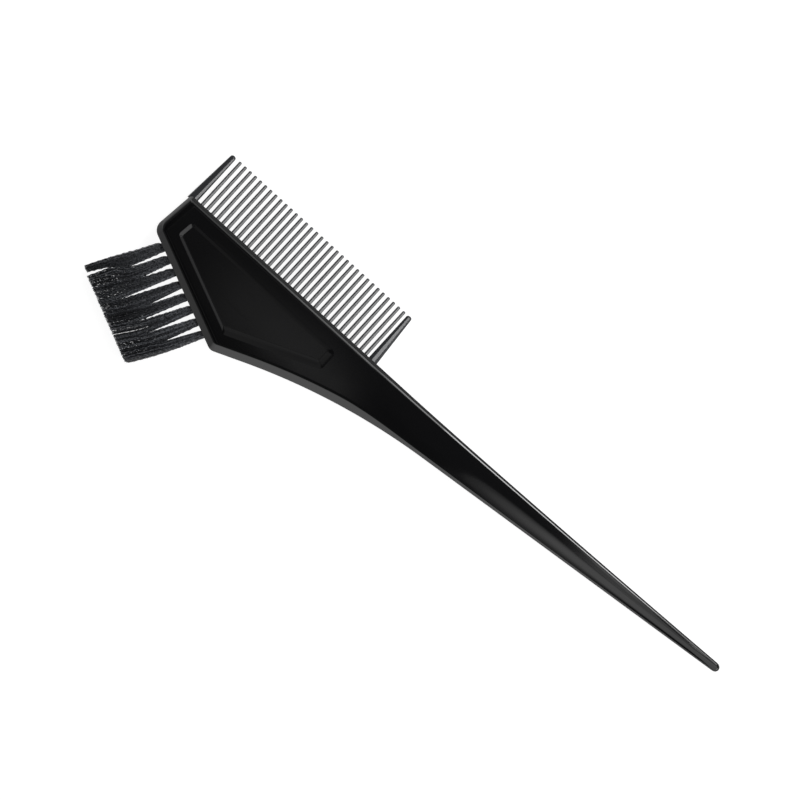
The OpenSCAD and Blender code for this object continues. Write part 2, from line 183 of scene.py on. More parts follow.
def ease(f):
    f = held(f)
    return f * f * (3 - 2 * f)


def meet(p, a, q, b):
    """Where the line through p in direction a meets the line through q in direction b."""
    u, v = ray(a), ray(b)
    return p + u * (q - p).cross(v) / u.cross(v)


def corner(p, a, b, r, steps):
    """Points of a corner at p, of radius r, that turns left from direction a to b."""
    middle = p - ray(a) * r * math.tan(math.radians(b - a) / 2) + ray(a + 90) * r
    return [middle + r * ray(a - 90 + (b - a) * i / steps) for i in range(steps + 1)]


COMB_CORNER = Vector((0, 0))
HEEL = COMB_CORNER + END_LEN * ray(END_DIR)
TOE = HEEL + (HEEL_MARGIN + (TUFT_COUNT - 1) * TUFT_PITCH + TOE_MARGIN) * ray(BRISTLE_DIR)
THROAT = TOE + THROAT_RUN * Vector((1, math.tan(math.radians(LOWER_RISE))))
TAIL_SLOPE = (TAIL_LIFT - TIP_W - THROAT.y) / (HANDLE_LEN - THROAT.x)
TAIL_RISE = math.degrees(math.atan(TAIL_SLOPE))
THROAT_CUT = THROAT_R * math.tan(math.radians(LOWER_RISE - TAIL_RISE) / 2)
THROAT_START = THROAT.x - THROAT_CUT * ray(LOWER_RISE).x
TAIL_START = THROAT.x + THROAT_CUT * ray(TAIL_RISE).x
TAIL_END = HANDLE_LEN - TIP_ROUND
ARC_X = THROAT_START + THROAT_R * ray(LOWER_RISE).y
ARC_Y = THROAT.y - THROAT_CUT * ray(LOWER_RISE).y - THROAT_R * ray(LOWER_RISE).x
print("heel", HEEL, "toe", TOE, "throat from", round(THROAT_START, 1), "to", round(TAIL_START, 1))

# %% Edges and thickness along the handle
def upper(x):
    return TAIL_LIFT * held((x - NECK_START) / (HANDLE_LEN - NECK_START)) ** LIFT_CURVE


def lower(x):
    if x < THROAT_START:
        return THROAT.y + (x - THROAT.x) * math.tan(math.radians(LOWER_RISE))
    if x > TAIL_START:
        return THROAT.y + (x - THROAT.x) * TAIL_SLOPE
    return ARC_Y + math.sqrt(THROAT_R ** 2 - (x - ARC_X) ** 2)


def along_tail(x):
    return held((x - TAIL_START) / (HANDLE_LEN - TAIL_START))


def half_t(x):
    return mix(HEAD_T, TIP_T, along_tail(x)) / 2


def crown(x):
    f = held((x - TAIL_START) / (TAIL_END - TAIL_START))
    return TAIL_CROWN * (1 - math.exp(-f / CROWN_RISE)) * (1 - f) ** CROWN_FALL


def upper_edge(x):
    return mix(COMB_EDGE, TIP_TOP_EDGE, math.sqrt(held((x - COMB_END) / (HANDLE_LEN - COMB_END))))


def out_of_throat(x):
    return ease((x - THROAT.x) / (TAIL_START - THROAT.x))


def lower_width(x):
    return mix(mix(HEAD_EDGE, TAIL_EDGE, out_of_throat(x)), TIP_EDGE, along_tail(x))


def lower_edge(x):
    return lower_width(x) / ray(mix(LOWER_RISE, TAIL_RISE, out_of_throat(x))).x


def bevel(step, slope, flat):
    """How far in and how far down a bevel is at a step of it, as shares of its width."""
    slope = math.radians(slope)
    turn = slope * min(1, (EDGE_STEPS - step) / (EDGE_STEPS - 1))
    rounded = (1 - flat) / math.sin(slope)
    if step == 0:
        return 0, rounded * (1 - math.cos(slope)) + flat * math.tan(slope)
    return 1 - rounded * math.sin(turn), rounded * (1 - math.cos(turn))


CORNER_STEPS, BRISTLE_STEPS, LOWER_STEPS, THROAT_STEPS, TAIL_STEPS = 8, 12, 6, 30, 26
stations = [mix(THROAT_START, TAIL_START, i / THROAT_STEPS) for i in range(THROAT_STEPS + 1)]
stations += [mix(TAIL_START, TAIL_END, i / TAIL_STEPS) for i in range(1, TAIL_STEPS + 1)]


def between(a, b, count):
    """Points that part the line from a to b into count steps, without its ends."""
    return [mix(a, b, i / count) for i in range(1, count)]


def two_sides(step):
    """The lower and the upper side of the outline at a step of the bevel, in matching columns."""
    comb_in, end_in, row_in, side_in = (bevel(step, *kind)[0] for kind in BEVELS)
    up = COMB_CORNER - Vector((0, comb_in * COMB_EDGE))
    end = COMB_CORNER + end_in * END_EDGE * ray(END_DIR + 90)
    row = HEEL + row_in * ROW_EDGE * ray(BRISTLE_DIR + 90)
    low = TOE + side_in * HEAD_EDGE * ray(LOWER_DIR + 90)
    radius = lambda r: max(0.2, r - end_in * END_EDGE)
    comb_arc = corner(meet(up, 180, end, END_DIR), 180, END_DIR, radius(COMB_CORNER_R), CORNER_STEPS)
    heel_arc = corner(meet(end, END_DIR, row, BRISTLE_DIR), END_DIR, BRISTLE_DIR,
                      radius(HEEL_R), CORNER_STEPS)
    toe_arc = corner(meet(row, BRISTLE_DIR, low, LOWER_DIR), BRISTLE_DIR, LOWER_DIR,
                     radius(TOE_R), CORNER_STEPS)
    throat_lower = [Vector((x, lower(x) + side_in * lower_edge(x))) for x in stations]
    throat_upper = [Vector((x, upper(x) - comb_in * upper_edge(x))) for x in stations]
    lower_side = (heel_arc + between(heel_arc[-1], toe_arc[0], BRISTLE_STEPS) + toe_arc
                  + between(toe_arc[-1], throat_lower[0], LOWER_STEPS) + throat_lower)
    head_columns = len(lower_side) - len(throat_lower) - len(comb_arc) + 1
    upper_side = comb_arc[::-1] + between(comb_arc[0], throat_upper[0], head_columns) + throat_upper
    return lower_side, upper_side


def two_depths(step):
    """How far the points of the two sides lie below the face."""
    comb_down, end_down, row_down, side_down = (bevel(step, *kind)[1] for kind in BEVELS)
    up, end = comb_down * COMB_EDGE, end_down * END_EDGE
    row, low = row_down * ROW_EDGE, side_down * HEAD_EDGE
    bend = lambda a, b: [mix(a, b, i / CORNER_STEPS) for i in range(CORNER_STEPS + 1)]
    lower_side = (bend(end, row) + [row] * (BRISTLE_STEPS - 1)
                  + bend(row, low) + [low] * (LOWER_STEPS - 1)
                  + [side_down * lower_width(x) for x in stations])
    upper_side = bend(end, up)
    upper_side += [up] * (len(lower_side) - len(stations) - len(upper_side))
    return lower_side, upper_side + [comb_down * upper_edge(x) for x in stations]


columns = len(two_sides(0)[0]) - 1
print("columns along the handle:", columns)

# %% [markdown]
# ## The handle
#
# The face could be drawn as one flat polygon and bevelled, but its edge is wider on the head than
# on the tail, and wider than the radius of its tightest corner, where a bevel would fold over.
# So a grid is added instead, and its columns are laid across the outline: every face stays a
# clean quad. The rim of the grid is then extruded down in rings, each laid on the outline a step
# further out and lower. Last, the half is mirrored into a closed solid, and the seam round its
# middle is dissolved, so that the bores are later cut into whole faces.

# %% The face, laid from a grid
ROWS = 14

clear_selection()
bpy.ops.mesh.primitive_grid_add(x_subdivisions=columns, y_subdivisions=ROWS, size=2)
handle = start_piece("moulded_handle")
mesh = bmesh.from_edit_mesh(handle.data)
place = mesh.verts.layers.int.new("place")
for v in mesh.verts:
    v[place] = round((v.co.x + 1) / 2 * columns) * (ROWS + 1) + round((v.co.y + 1) / 2 * ROWS)


def rim_point(j, k, sides):
    """A point of the rim in column j and row k."""
    low, high = sides[0][j], sides[1][j]
    if j < columns:
        return mix(low, high, k / ROWS)
    reach = TIP_ROUND * (high.y - low.y) / (upper(TAIL_END) - lower(TAIL_END))
    a = math.radians(180 * k / ROWS - 90)
    middle = (low + high) / 2
    return middle + Vector((reach * math.cos(a), (high.y - low.y) / 2 * math.sin(a)))


def lay_ring(piece, step, inner=False):
    """Lays the selected points on the outline at a step of the bevel."""
    sides, depths = two_sides(step), two_depths(step)
    mesh = bmesh.from_edit_mesh(piece.data)
    place = mesh.verts.layers.int["place"]
    for v in mesh.verts:
        if not v.select:
            continue
        j, k = divmod(v[place], ROWS + 1)
        p = rim_point(j, k, sides)
        height = half_t(p.x) - mix(depths[0][j], depths[1][j], k / ROWS)
        if inner:
            f = k / ROWS
            height += crown(p.x) * 4 * f * (1 - f) * (1 - CROWN_LEAN * (1 - 2 * f))
        v.co = (p.x, p.y, height)
    bmesh.update_edit_mesh(piece.data)


bpy.ops.mesh.select_all(action="SELECT")
lay_ring(handle, EDGE_STEPS, inner=True)
print("face laid:", len(bmesh.from_edit_mesh(handle.data).faces), "quads")

# %% The bevelled rim, and the other half
bpy.ops.mesh.select_all(action="SELECT")
bpy.ops.mesh.region_to_loop()
for step in range(EDGE_STEPS - 1, -1, -1):
    bpy.ops.mesh.extrude_edges_move()
    lay_ring(handle, step)
bpy.ops.mesh.extrude_edges_move()
bpy.ops.transform.resize(value=(1, 1, 0), center_override=(0, 0, 0))
bpy.ops.mesh.select_all(action="SELECT")
bpy.ops.mesh.normals_make_consistent(inside=False)
bpy.ops.object.mode_set(mode="OBJECT")
apply_modifier(handle, "MIRROR", use_axis=(False, False, True), use_mirror_merge=True,
               merge_threshold=0.001)
bpy.ops.object.mode_set(mode="EDIT")
pick(handle, "EDGE", lambda p: abs(p.z) < 0.0001)
bpy.ops.mesh.dissolve_edges(use_verts=True)
bpy.ops.mesh.select_mode(type="VERT")
bpy.ops.object.mode_set(mode="OBJECT")
print("blank:", len(handle.data.polygons), "faces")

# %% [markdown]
# ## The thumb recess
#
# Both faces of the head have a shallow recess for the thumb, parallel to the edges of the head
# and fading out towards the tail. On a moulding its wall is no sharp step: it rolls over at the
# top and runs out softly at the floor. Towards the lower side and the tail it slopes so gently
# that it nearly disappears. The cutter is a filled circle whose points are laid on the outline of
# the recess, extruded down ring by ring along that soft step.

# %% Cut the recess from both faces
RECESS_BORDER, RECESS_STEP, RECESS_END = 5.5, 0.8, 62.0
RECESS_DEEP, RECESS_SHALLOW = 0.3, 0.2
RECESS_WALL, RECESS_R, SOFT_SIDE = 1.2, 1.6, 2.3
RECESS_STEPS, RECESS_CORNER = 8, 8


def recess_ring(inset):
    """Outline of the recess, moved inwards by inset, and further on its two gentle sides."""
    far_dir = 450
    depth = RECESS_BORDER + inset
    up = COMB_CORNER - Vector((0, depth))
    end = COMB_CORNER + (depth + RECESS_STEP) * ray(END_DIR + 90)
    row = HEEL + depth * ray(BRISTLE_DIR + 90)
    low = TOE + (RECESS_BORDER + SOFT_SIDE * inset) * ray(LOWER_DIR + 90)
    far = Vector((RECESS_END - SOFT_SIDE * inset, 0))
    r = max(0.4, RECESS_R - inset)
    return (corner(meet(up, 180, end, END_DIR), 180, END_DIR, r, RECESS_CORNER)
            + corner(meet(end, END_DIR, row, BRISTLE_DIR), END_DIR, BRISTLE_DIR, r, RECESS_CORNER)
            + corner(meet(row, BRISTLE_DIR, low, LOWER_DIR), BRISTLE_DIR, LOWER_DIR, r, RECESS_CORNER)
            + corner(meet(low, LOWER_DIR, far, far_dir), LOWER_DIR, far_dir, r, RECESS_CORNER)
            + corner(meet(far, far_dir, up, 540), far_dir, 540, r, RECESS_CORNER))


def lay_recess(piece, inset, share):
    """Lays the selected ring of the cutter at an inset, at a share of the depth of the recess."""
    points = recess_ring(inset)
    mesh = bmesh.from_edit_mesh(piece.data)
    turn = mesh.verts.layers.int["turn"]
    for v in mesh.verts:
        if v.select:
            p = points[v[turn]]
            along = held((p.x - RECESS_BORDER) / (RECESS_END - RECESS_BORDER))
            v.co = (p.x, p.y, HEAD_T / 2 - mix(RECESS_DEEP, RECESS_SHALLOW, along) * share)
    bmesh.update_edit_mesh(piece.data)


def recess_cutter():
    clear_selection()
    bpy.ops.mesh.primitive_circle_add(vertices=len(recess_ring(0)), fill_type="NGON")
    cutter = start_piece("recess_cutter")
    mesh = bmesh.from_edit_mesh(cutter.data)
    turn = mesh.verts.layers.int.new("turn")
    ring = sorted(mesh.verts, key=lambda v: math.atan2(v.co.y, v.co.x))
    for i, v in enumerate(ring):
        v[turn] = i
    bpy.ops.mesh.select_all(action="SELECT")
    lay_recess(cutter, -0.35, -0.6)
    for i in range(RECESS_STEPS + 1):
        f = mix(0.02, 1, i / RECESS_STEPS)
        bpy.ops.mesh.extrude_region_move()
        lay_recess(cutter, f * RECESS_WALL - 0.02, mix(f, ease(f), 0.4) - 0.03 * (1 - f))
    for inset in (1.4, 1.8):
        bpy.ops.mesh.extrude_region_move()
        lay_recess(cutter, inset, 1)
    bpy.ops.mesh.select_all(action="SELECT")
    bpy.ops.mesh.normals_make_consistent(inside=False)
    bpy.ops.object.mode_set(mode="OBJECT")
    return cutter


cut_away(handle, recess_cutter())
back_cutter = recess_cutter()
bpy.context.view_layer.objects.active = back_cutter
bpy.ops.object.mode_set(mode="EDIT")
bpy.ops.mesh.select_all(action="SELECT")
bpy.ops.transform.mirror(constraint_axis=(False, False, True), center_override=(0, 0, 0))
bpy.ops.mesh.normals_make_consistent(inside=False)
bpy.ops.object.mode_set(mode="OBJECT")
cut_away(handle, back_cutter)
print("with recesses:", len(handle.data.polygons), "faces")

# %% [markdown]
# ## Bores and groove
#
# Each tuft sits in a blind bore in the slanted edge, with a slot at its bottom where the wire
# anchor bites into the wall, and the comb's tongue sits in a groove along the upper edge. All
# cutters of a kind are joined, so that one cut makes all eight bores alike.

# %% Cut the bores, the anchor slots and the groove
BORE_D, BORE_DEPTH, BRISTLE_LEAN = 2.5, 7.0, 7.6
ANCHOR_W, ANCHOR_H, ANCHOR_T, FOLD_T = 3.2, 1.5, 0.35, 1.4
TONGUE_T, TONGUE_D, TONGUE_FIT = 2.4, 3.0, 0.05

ROW_DIR = ray(BRISTLE_DIR).to_3d()
TUFT_ANGLE = BRISTLE_DIR - 90 - BRISTLE_LEAN
TUFT_DIR = ray(TUFT_ANGLE).to_3d()


def mouth(i):
    """Where the bore of tuft i opens in the slanted edge."""
    return HEEL.to_3d() + (HEEL_MARGIN + i * TUFT_PITCH) * ROW_DIR


def at_bores(pattern):
    """Copies a shape, modelled upright over the origin, to every bore and joins the copies."""
    copies = []
    for i in range(TUFT_COUNT):
        copy = pattern.copy()
        copy.data = pattern.data.copy()
        bpy.context.collection.objects.link(copy)
        copy.rotation_euler = (0, math.pi / 2, math.radians(TUFT_ANGLE))
        copy.location = mouth(i)
        copies.append(copy)
    bpy.data.objects.remove(pattern)
    return join(copies)


def domed_plug(name, radius, depth, top):
    """A round plug from the given depth up to top, with its lower end rounded off."""
    clear_selection()
    bpy.ops.mesh.primitive_cylinder_add(vertices=32, radius=radius, depth=depth + top,
                                        location=(0, 0, (top - depth) / 2))
    plug = start_piece(name)
    bottom = -(depth + top) / 2
    pick(plug, "EDGE", lambda p: abs(p.z - bottom) < 0.001 and p.xy.length > 0.9 * radius)
    bpy.ops.mesh.bevel(offset=0.97 * radius, segments=6, affect="EDGES")
    bpy.ops.object.mode_set(mode="OBJECT")
    bpy.ops.object.transform_apply(location=True, rotation=False, scale=False)
    return plug


def flat_block(name, low, high):
    """A block between two corners, out of a cube."""
    clear_selection()
    bpy.ops.mesh.primitive_cube_add(size=1, location=(Vector(low) + Vector(high)) / 2)
    block = start_piece(name)
    bpy.ops.transform.resize(value=Vector(high) - Vector(low))
    bpy.ops.object.mode_set(mode="OBJECT")
    bpy.ops.object.transform_apply(location=True, rotation=False, scale=False)
    return block


def anchor_block(name):
    low = (-ANCHOR_W / 2, -ANCHOR_T / 2, FOLD_T - BORE_DEPTH)
    return flat_block(name, low, (ANCHOR_W / 2, ANCHOR_T / 2, FOLD_T - BORE_DEPTH + ANCHOR_H))


cut_away(handle, at_bores(domed_plug("bore_cutter", BORE_D / 2, BORE_DEPTH, 1)))
cut_away(handle, at_bores(anchor_block("slot_cutter")))
groove_half = TONGUE_T / 2 + TONGUE_FIT
cut_away(handle, flat_block("groove_cutter", (HEEL.x - 1, -TONGUE_D, -groove_half),
                            (COMB_END + TONGUE_FIT, 1, groove_half)))
print("with bores and groove:", len(handle.data.polygons), "faces")

# %% [markdown]
# The moulding is smooth all over, apart from the true edges at the bores and the groove. Smooth
# shading alone would bend the light across the flat faces, so a Weighted Normal modifier lets the
# large faces decide how each corner is shaded. Round a recess the cut leaves slivers that are too
# small to decide anything, so its rim is marked as a true edge. The floor of the recess is less
# polished than the rest and is painted paler as a painted sheen, and an attribute tells the finish
# where that floor is.

# %% Mark the rims and the floors of the recesses
RIM_MARGIN = 1.0
FLOOR_FROM, FLOOR_TO = 0.15, 1.0
LEVEL, SLOPING = 0.99999, 0.9998


def in_recess(p):
    """Whether a point lies within the outline of the recess, or just outside it."""
    sides = ((COMB_CORNER, 180), (COMB_CORNER, END_DIR), (HEEL, BRISTLE_DIR), (TOE, LOWER_DIR))
    return p.x < RECESS_END + RIM_MARGIN and all(
        (p.to_2d() - start).dot(ray(angle + 90)) > RECESS_BORDER - RIM_MARGIN for start, angle in sides)


def is_rim(edge):
    """Whether an edge at the height of the face parts the level face from a sloping wall."""
    if len(edge.link_faces) != 2 or any(abs(v.co.z) < HEAD_T / 2 - 0.01 for v in edge.verts):
        return False
    wall, face = sorted(abs(f.normal.z) for f in edge.link_faces)
    return wall < SLOPING and face > LEVEL and in_recess(edge.verts[0].co)


bpy.context.view_layer.objects.active = handle
bpy.ops.object.mode_set(mode="EDIT")
mesh = bmesh.from_edit_mesh(handle.data)
mesh.normal_update()
# This mask of the recess floors sets their lower gloss and also where their painted sheen goes.
satin_and_sheen = mesh.verts.layers.float.new("satin_and_sheen")
for v in mesh.verts:
    v[satin_and_sheen] = float(FLOOR_FROM < HEAD_T / 2 - abs(v.co.z) < FLOOR_TO and in_recess(v.co))
bpy.ops.mesh.select_mode(type="EDGE")
bpy.ops.mesh.select_all(action="DESELECT")
rim = [edge for edge in mesh.edges if is_rim(edge)]
for edge in rim:
    edge.select_set(True)
print("edges round the recesses:", len(rim))
bmesh.update_edit_mesh(handle.data)
bpy.ops.mesh.mark_sharp()
bpy.ops.mesh.select_mode(type="VERT")
bpy.ops.object.mode_set(mode="OBJECT")

# %% Shade the handle and set it down
def shade(piece, angle):
    clear_selection()
    piece.select_set(True)
    bpy.context.view_layer.objects.active = piece
    bpy.ops.object.shade_smooth_by_angle(angle=math.radians(angle), keep_sharp_edges=True)
    apply_modifier(piece, "WEIGHTED_NORMAL", weight=80, keep_sharp=True)


shade(handle, 35)
set_down(handle, "handle")

# %% [markdown]
# ## The comb
#
# The comb is a moulding of its own: a flat tongue that carries fine teeth, with a stout guard
# tooth at either end. A tooth is thick at its root and thin at its tip. It has a ridge with a
# facet on either side, so that it glides through hair. A tooth starts as an eight-sided cylinder
# whose two ends are laid on the section at its root and at its tip. Its long edges are then
# softened, and its end is extruded in smaller and smaller rings into a rounded tip. An array
# repeats the fine tooth.

# %% Model the teeth and join them to the tongue
TOOTH_COUNT, TOOTH_PITCH, TOOTH_ROOT = 33, 2.01, -1.1
TOOTH_W, TOOTH_TIP_W, TOOTH_T, TOOTH_TIP_T = 1.18, 1.04, 2.2, 1.2
GUARD_W, GUARD_TIP_W, GUARD_OVER, FIRST_GAP = 3.2, 1.9, 0.8, 1.07
FACET_SLOPE = 24
TIP_RINGS, RING_TURN = 5, 17


def tooth_section(left, right, thick, facets):
    """Points round a tooth: its side, a flank, a facet, the ridge, and so on round to the start."""
    across = [mix(left, right, f) for f in facets]
    fall = math.tan(math.radians(FACET_SLOPE))
    upper_half = [(x, max(thick / 8, thick / 2 - abs(x - across[1]) * fall)) for x in across]
    lower_half = [(x, -z) for x, z in reversed(upper_half)]
    return [(left, 0)] + upper_half + [(right, 0)] + lower_half


def tooth(name, root, tip, facets, soft, tip_round):
    """A tooth between a left and a right side at its root and at its tip."""
    clear_selection()
    bpy.ops.mesh.primitive_cylinder_add(vertices=8, radius=1, depth=2, end_fill_type="NGON")
    piece = start_piece(name)
    mesh = bmesh.from_edit_mesh(piece.data)
    for v in mesh.verts:
        at_tip = v.co.z > 0
        section = tooth_section(*(tip if at_tip else root), TOOTH_TIP_T if at_tip else TOOTH_T, facets)
        x, z = section[round((math.pi - math.atan2(v.co.y, v.co.x)) / (math.pi / 4)) % 8]
        v.co = (x, TOOTH_LEN - tip_round if at_tip else TOOTH_ROOT, z)
    bmesh.update_edit_mesh(piece.data)
    bpy.ops.mesh.select_all(action="SELECT")
    bpy.ops.mesh.normals_make_consistent(inside=False)
    pick(piece, "EDGE", lambda p: TOOTH_ROOT + 0.1 < p.y < TOOTH_LEN - tip_round - 0.1)
    bpy.ops.mesh.bevel(offset=soft, segments=2, affect="EDGES")
    pick(piece, "FACE", lambda p: p.y > TOOTH_LEN - tip_round - 0.01)
    for step in range(TIP_RINGS):
        a, b = math.radians(RING_TURN * step), math.radians(RING_TURN * (step + 1))
        bpy.ops.mesh.extrude_region_move()
        bpy.ops.transform.translate(value=(0, tip_round * (math.sin(b) - math.sin(a)), 0))
        bpy.ops.transform.resize(value=(math.cos(b) / math.cos(a), 1, math.cos(b) / math.cos(a)))
    bpy.ops.object.mode_set(mode="OBJECT")
    return piece


inner = GUARD_W - GUARD_OVER
first, last_guard = inner + FIRST_GAP, COMB_END - GUARD_W
lean = (TOOTH_W - TOOTH_TIP_W) / 2
fine_teeth = tooth("fine_teeth", (first, first + TOOTH_W), (first + lean, first + TOOTH_W - lean),
                   (0.12, 0.4, 0.88), 0.07, 0.35)
apply_modifier(fine_teeth, "ARRAY", count=TOOTH_COUNT, use_relative_offset=False,
               use_constant_offset=True, constant_offset_displace=(TOOTH_PITCH, 0, 0))
first_guard = tooth("first_guard", (-GUARD_OVER, inner), (inner - GUARD_TIP_W, inner),
                    (0.12, 0.6, 0.88), 0.12, 0.75)
end_guard = tooth("end_guard", (last_guard, COMB_END), (last_guard, last_guard + GUARD_TIP_W),
                  (0.12, 0.35, 0.7), 0.12, 0.75)
comb = flat_block("comb_strip", (0.3, -TONGUE_D, -TONGUE_T / 2), (COMB_END, 0, TONGUE_T / 2))
teeth = join([fine_teeth, first_guard, end_guard])
apply_modifier(comb, "BOOLEAN", operation="UNION", solver="EXACT", object=teeth)
bpy.data.objects.remove(teeth)
shade(comb, 35)
set_down(comb, "comb")

# %% [markdown]
# ## The tufts
#
# A tuft is a bundle of crimped nylon filaments, folded in the middle and stapled into its bore.
# It leaves the bore as a round bundle and fans out until it meets its neighbours, which leaves a
# wedge of light between each two. The first two part again at their tips. One straight filament
# is modelled from a three-sided cylinder, cut into short lengths. Every strand is a copy of it,
# laid along its own path: its place in the bundle, the fan of its tuft and a crimp of its own. A
# fixed seed keeps every run alike.

# %% One straight filament and the folded root
BRISTLE_LEN, STRAND_D, ROW_T = 24.3, 0.18, 3.8
STRAND_CUTS, STRANDS = 23, 155
STRAND_ROOT = 1.2
ROOT_R, ROOT_SINK = BORE_D / 2 - 0.04, 0.25
TUFT_ROOT, TUFT_OVERLAP, OUTER_REACH = 1.15, 0.5, 1.6
WEDGES = (12.3, 9.8, 19, 11.2, 16, 15.5, 11.4)
WEDGE_LEANS = (0.6, 0.6, 1.0, 0.9, 0.75, 0.9, 0.7)
ROOT_FLARES = (0.75, 0.5, 0.4, 0.15, 0.3, 0.2, 0.1, 0.1)

clear_selection()
bpy.ops.mesh.primitive_cylinder_add(vertices=3, radius=STRAND_D / 2, depth=1, location=(0, 0, 0.5))
filament = start_piece("filament")
pick(filament, "EDGE", lambda p: abs(p.z) < 0.4)
bpy.ops.mesh.subdivide(number_cuts=STRAND_CUTS)
bpy.ops.object.mode_set(mode="OBJECT")
bpy.ops.object.transform_apply(location=True, rotation=False, scale=False)
folded_root = domed_plug("folded_root", ROOT_R, BORE_DEPTH - 0.04, -ROOT_SINK)
cut_away(folded_root, anchor_block("root_slot"))
print("filament faces:", len(filament.data.polygons), "root faces:", len(folded_root.data.polygons))

# %% How far a tuft spreads
FLARE_LEN, FAN_LEN, OUTER_BOW, MEET_LEN = 8, 15, 0.35, 3.5
SPLIT_LEAN, SPLIT_LEN = -1.05, 4
SLIT_W, SLIT_FROM, SLIT_LEN = 1.12, 14, 10.3


def side_reach(h, side, i):
    """How far tuft i reaches at the height h, towards the first tuft (-1) or the last (1)."""
    gap = i if side > 0 else i - 1
    flare = ROOT_FLARES[i] * ease(h) * (1 - held(h / FLARE_LEN)) if side < 0 else 0
    if not 0 <= gap < TUFT_COUNT - 1:
        bow = OUTER_BOW * math.sin(math.pi * held(h / BRISTLE_LEN))
        return mix(TUFT_ROOT, OUTER_REACH, held(h / FAN_LEN)) + bow + flare
    wedge, lean = WEDGES[gap], side * WEDGE_LEANS[gap]
    if h < wedge:
        return mix(TUFT_ROOT, TUFT_PITCH / 2 + lean, held(h / wedge)) + flare
    lean *= 1 - (h - wedge) / (BRISTLE_LEN - wedge)
    slit = 0
    if gap == 0:
        lean = side * mix(WEDGE_LEANS[0], SPLIT_LEAN, ease((h - wedge) / SPLIT_LEN))
        slit = SLIT_W * held((h - SLIT_FROM) / SLIT_LEN) ** 0.5
    return TUFT_PITCH / 2 + lean + TUFT_OVERLAP * ease((h - wedge) / MEET_LEN) - slit


print("tuft 4 at mid length:", [round(side_reach(BRISTLE_LEN / 2, side, 3), 2) for side in (-1, 1)])

# %% Lay the strands of each tuft
SEED, GOLDEN_ANGLE = 100, 137.508
RAGGED, CORNER_TRIM, SHORTER = 0.3, 1.2, 0.4
CRIMP_LOW, CRIMP_HIGH, DRIFT, CLUMP = 0.05, 0.19, 0.08, 0.08
# The last two set a painted light: how much lighter each strand is painted at its root, and over what
# length that fades out.
TONE_FALL, PAINTED_ROOT_LIGHT, PAINTED_ROOT_LIGHT_LEN = 2.6, 0.27, 18


def make_tuft(i):
    chance = random.Random(SEED + i)
    mesh = bmesh.new()
    tone = mesh.verts.layers.float.new("strand_tone_and_root_light")
    mesh.from_mesh(folded_root.data)
    sideways = TUFT_DIR.cross(Vector((0, 0, 1)))
    for v in mesh.verts:
        v.co = mouth(i) + v.co.z * TUFT_DIR - v.co.y * sideways + Vector((0, 0, -v.co.x))
        v[tone] = 0.5
    for s in range(STRANDS):
        spread = math.sqrt((s + 0.5) / STRANDS)
        turn = math.radians(GOLDEN_ANGLE * s)
        across, up = spread * math.cos(turn), spread * math.sin(turn)
        even = (math.asin(across) + across * math.sqrt(1 - across ** 2)) * 2 / math.pi
        corner_cut = -across if i == 0 else across if i == TUFT_COUNT - 1 else 0
        length = BRISTLE_LEN - SHORTER * (1 - i / (TUFT_COUNT - 1)) - SHORTER * (i == 0)
        length -= abs(chance.gauss(0, RAGGED)) + CORNER_TRIM * held(corner_cut * 2 - 1) ** 2
        crimp = [chance.uniform(CRIMP_LOW, CRIMP_HIGH) * (-1) ** n for n in range(STRAND_CUTS + 2)]
        swing = chance.uniform(0, 2 * math.pi)
        drift = chance.gauss(0, DRIFT)
        shade_of = chance.random() ** TONE_FALL
        clump = CLUMP * math.sin(11 * even + 2.1 * i)
        first = len(mesh.verts)
        mesh.from_mesh(filament.data)
        mesh.verts.ensure_lookup_table()
        for v in mesh.verts[first:]:
            h = mix(-STRAND_ROOT, length, v.co.z)
            f = held(h / BRISTLE_LEN)
            left, right = side_reach(h, -1, i), side_reach(h, 1, i)
            row = mix(across, even, ease(h / 8)) * (left + right) / 2 + (right - left) / 2
            row += drift * f + clump * ease((h - 9) / 9)
            out = up * mix(1.0, ROW_T / 2 - 0.2, ease(f * 1.3))
            wave = crimp[round(v.co.z * (STRAND_CUTS + 1))] * held(h / 2)
            thick = mix(1, 0.8, f)
            v.co = (mouth(i) + h * TUFT_DIR + (row + wave * math.cos(swing) + thick * v.co.x) * ROW_DIR
                    + Vector((0, 0, out + wave * math.sin(swing) + thick * v.co.y)))
            # Each strand's own tone, plus painted light towards its root where the bundles are lit.
            v[tone] = shade_of + PAINTED_ROOT_LIGHT * (1 - held(h / PAINTED_ROOT_LIGHT_LEN))
    tuft_mesh = bpy.data.meshes.new(f"bristle_tuft_{i + 1}")
    mesh.to_mesh(tuft_mesh)
    mesh.free()
    tuft = bpy.data.objects.new(f"bristle_tuft_{i + 1}", tuft_mesh)
    bpy.context.collection.objects.link(tuft)
    clear_selection()
    tuft.select_set(True)
    bpy.context.view_layer.objects.active = tuft
    bpy.ops.object.shade_smooth_by_angle(angle=math.radians(70))
    return tuft


tufts = [make_tuft(i) for i in range(TUFT_COUNT)]
for i, tuft in enumerate(tufts):
    set_down(tuft, f"tuft_{i + 1}")
bpy.data.objects.remove(filament)
bpy.data.objects.remove(folded_root)

# %% [markdown]
# ## Writing shaders as sums
#
# A finish is a small network of nodes. Drawn by hand that is quick, but in a script each link is
# a line. So one class wraps an output socket: adding or multiplying two of them adds the Math
# node for it, and one method makes any other node. Only colour, roughness and bump vary over a
# surface here; what is the same all over is set on the shader itself.

